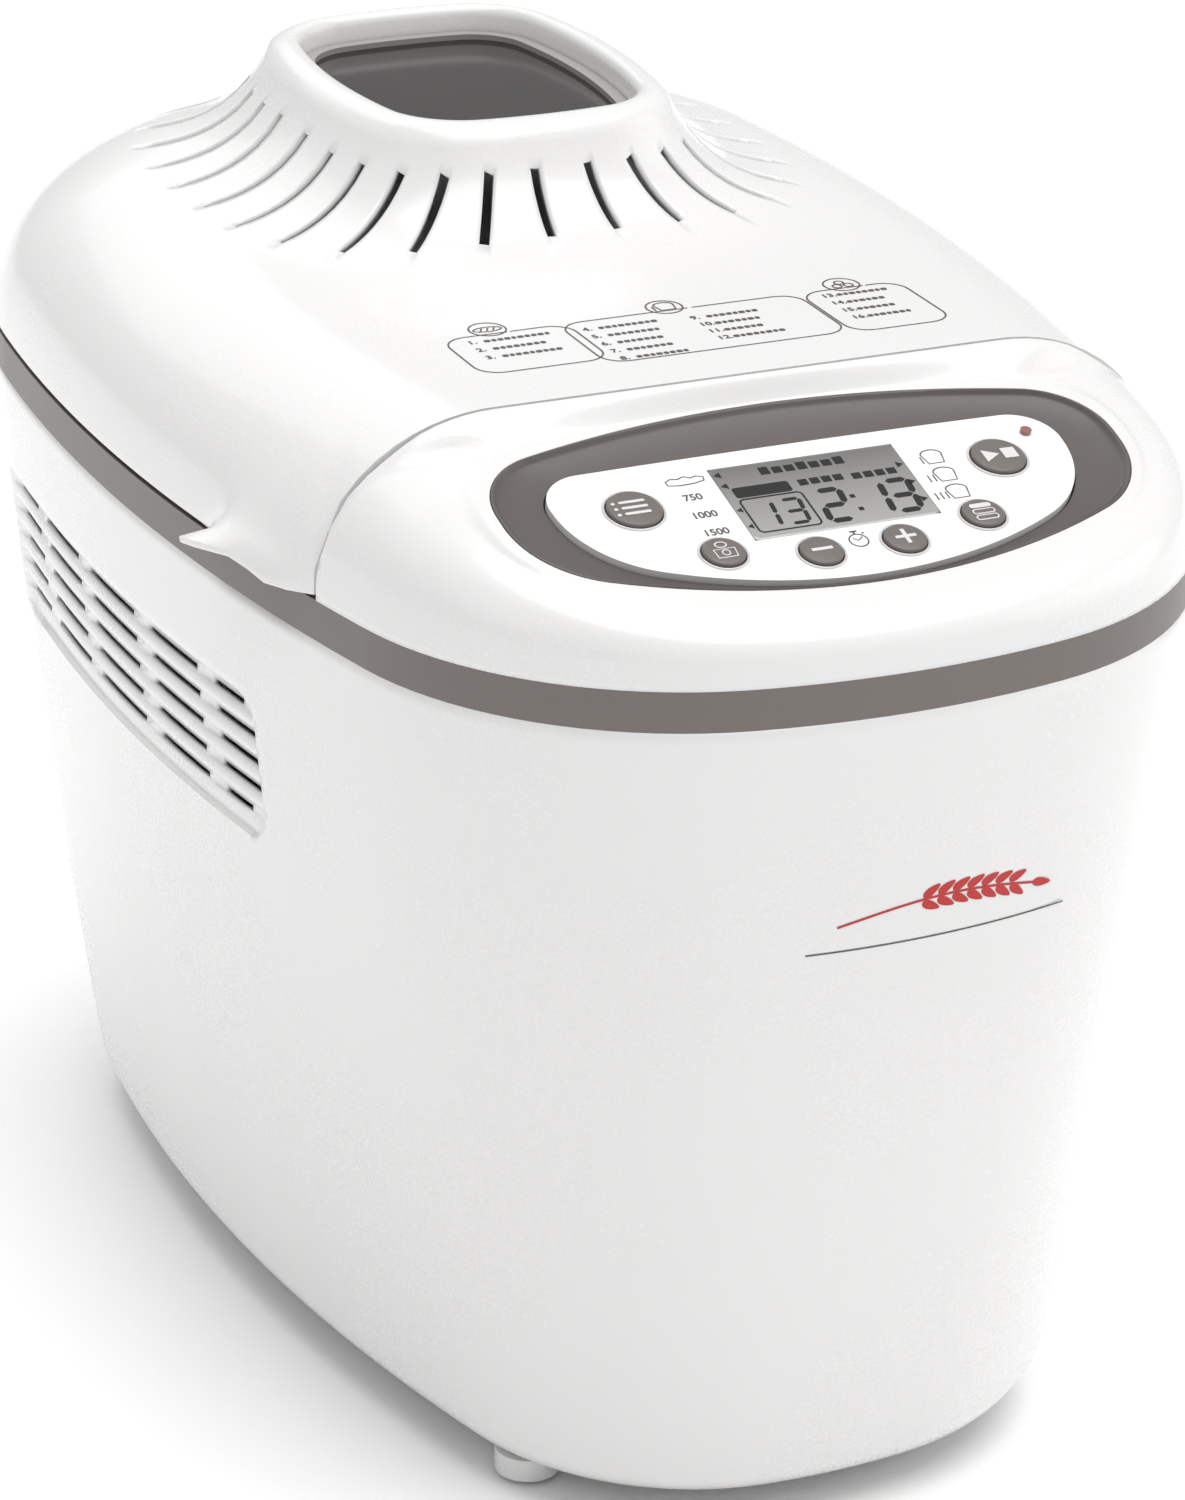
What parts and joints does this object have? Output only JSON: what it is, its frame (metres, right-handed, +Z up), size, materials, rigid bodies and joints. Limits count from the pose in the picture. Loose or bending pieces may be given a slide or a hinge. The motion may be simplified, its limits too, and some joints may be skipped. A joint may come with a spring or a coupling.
{
  "type": "bread machine",
  "caption": "Tapered white bread machine with a hinged domed lid, viewing window, sloping control panel, twin-paddle pan and belt drive.",
  "frame": {"origin": "on the table under the middle of the machine, at the bottom of the foot pads", "axes": "+Z up, the control panel faces -Y and the lid hinge is at +Y, +X to the right seen from the front"},
  "size_m": [0.286, 0.425, 0.332],
  "materials": {
    "white_gloss": "glossy",
    "white_panel": "satin",
    "grey_trim": "satin",
    "grey_buttons": "satin",
    "inner_plastic": "matt",
    "dark_glass": "polished",
    "screen": "satin",
    "lamp": "clear",
    "board": "solder mask",
    "black_plastic": "matt",
    "black_rubber": "matt",
    "seal_rubber": "matt",
    "bare_sheet": "brushed",
    "liner_sheet": "satin",
    "bright_steel": "polished",
    "element_sheath": "oxidised",
    "ceramic": "glazed",
    "non_stick": "non-stick coating",
    "sintered_bronze": "oiled",
    "pulley_plastic": "natural nylon",
    "motor_steel": "zinc plated",
    "winding": "enamelled wire"
  },
  "bodies": {
    "housing": {"base_plate": "inner_plastic", "base_screws": "bright_steel", "body_shell": "white_gloss", "control_board": "board", "control_hood": "white_gloss", "drive_bearings": "sintered_bronze", "drive_bracket": "bare_sheet", "element_clips": "bare_sheet", "element_insulators": "ceramic", "feet": "white_gloss", "foot_pads": "black_rubber", "heating_element": "element_sheath", "hinge_pins": "bright_steel", "indicator_light": "lamp", "key_switches": "black_plastic", "lcd_module": "board", "lcd_window": "screen", "lid_seal": "seal_rubber", "mains_gland": "black_plastic", "motor_belt": "black_rubber", "motor_coil": "winding", "motor_housing": "motor_steel", "motor_screws": "bright_steel", "oven_chamber": "bare_sheet", "pan_seats": "bare_sheet", "pan_springs": "bare_sheet", "panel_bezel": "grey_trim", "panel_face": "white_panel", "power_board": "board", "rim_band": "grey_trim", "run_capacitor": "black_plastic", "temperature_sensor": "bright_steel", "thermal_fuse": "black_plastic", "top_deck": "inner_plastic", "transfer_belt": "black_rubber"},
    "lid": {"lid_cover": "white_gloss", "window_glass": "dark_glass", "window_gasket": "grey_trim", "lid_liner": "liner_sheet", "inner_window": "dark_glass"},
    "pan": {"bread_pan": "non_stick", "handle_pins": "bright_steel", "pan_bushes": "inner_plastic"},
    "bail": {"pan_handle": "bright_steel"},
    "front_kneader": {"front_pan_shaft": "bright_steel", "front_paddle": "non_stick"},
    "rear_kneader": {"rear_pan_shaft": "bright_steel", "rear_paddle": "non_stick"},
    "front_drive": {"front_drive_shaft": "bright_steel", "front_pulley": "pulley_plastic"},
    "rear_drive": {"rear_drive_shaft": "bright_steel", "rear_pulley": "pulley_plastic"},
    "rotor": {"motor_rotor": "motor_steel", "motor_pulley": "motor_steel"},
    "menu_button_body": {"menu_button": "grey_buttons"},
    "start_stop_button_body": {"start_stop_button": "grey_buttons"},
    "weight_button_body": {"weight_button": "grey_buttons"},
    "crust_button_body": {"crust_button": "grey_buttons"},
    "minus_button_body": {"minus_button": "grey_buttons"},
    "plus_button_body": {"plus_button": "grey_buttons"}
  },
  "joints": [
    {"name": "lid_hinge", "type": "hinge", "parent": "housing", "child": "lid", "pos_m": [0, 0.2075, 0.2585], "axis": [-1, 0, 0], "range_deg": [0, 80]},
    {"name": "pan_lift", "type": "slide", "parent": "housing", "child": "pan", "axis": [0, 0, 1], "range_m": [0, 0.012]},
    {"name": "bail_swing", "type": "hinge", "parent": "pan", "child": "bail", "pos_m": [0, 0.038, 0.182], "axis": [0, -1, 0], "range_deg": [0, 180]},
    {"name": "front_drive_spin", "type": "hinge", "parent": "housing", "child": "front_drive", "pos_m": [0, -0.01, 0.05], "axis": [0, 0, 1], "continuous": true},
    {"name": "rear_drive_spin", "type": "hinge", "parent": "housing", "child": "rear_drive", "pos_m": [0, 0.086, 0.05], "axis": [0, 0, 1], "continuous": true},
    {"name": "motor_spin", "type": "hinge", "parent": "housing", "child": "rotor", "pos_m": [0, -0.142, 0.09], "axis": [0, 0, 1], "continuous": true},
    {"name": "front_kneader_spin", "type": "hinge", "parent": "pan", "child": "front_kneader", "pos_m": [0, -0.01, 0.1], "axis": [0, 0, 1], "continuous": true},
    {"name": "rear_kneader_spin", "type": "hinge", "parent": "pan", "child": "rear_kneader", "pos_m": [0, 0.086, 0.1], "axis": [0, 0, 1], "continuous": true},
    {"name": "menu_press", "type": "slide", "parent": "housing", "child": "menu_button_body", "axis": [0, 0.285, -0.9585], "range_m": [0, 0.0008], "stiffness_N_per_m": 900, "springref_m": -0.0006},
    {"name": "start_stop_press", "type": "slide", "parent": "housing", "child": "start_stop_button_body", "axis": [0, 0.285, -0.9585], "range_m": [0, 0.0008], "stiffness_N_per_m": 900, "springref_m": -0.0006},
    {"name": "weight_press", "type": "slide", "parent": "housing", "child": "weight_button_body", "axis": [0, 0.285, -0.9585], "range_m": [0, 0.0008], "stiffness_N_per_m": 900, "springref_m": -0.0006},
    {"name": "crust_press", "type": "slide", "parent": "housing", "child": "crust_button_body", "axis": [0, 0.285, -0.9585], "range_m": [0, 0.0008], "stiffness_N_per_m": 900, "springref_m": -0.0006},
    {"name": "minus_press", "type": "slide", "parent": "housing", "child": "minus_button_body", "axis": [0, 0.285, -0.9585], "range_m": [0, 0.0008], "stiffness_N_per_m": 900, "springref_m": -0.0006},
    {"name": "plus_press", "type": "slide", "parent": "housing", "child": "plus_button_body", "axis": [0, 0.285, -0.9585], "range_m": [0, 0.0008], "stiffness_N_per_m": 900, "springref_m": -0.0006}
  ],
  "couplings": [
    {"joint": "rear_drive_spin", "follows": "front_drive_spin", "ratio": 1},
    {"joint": "motor_spin", "follows": "front_drive_spin", "ratio": 5.5},
    {"joint": "front_kneader_spin", "follows": "front_drive_spin", "ratio": 1},
    {"joint": "rear_kneader_spin", "follows": "front_drive_spin", "ratio": 1}
  ]
}
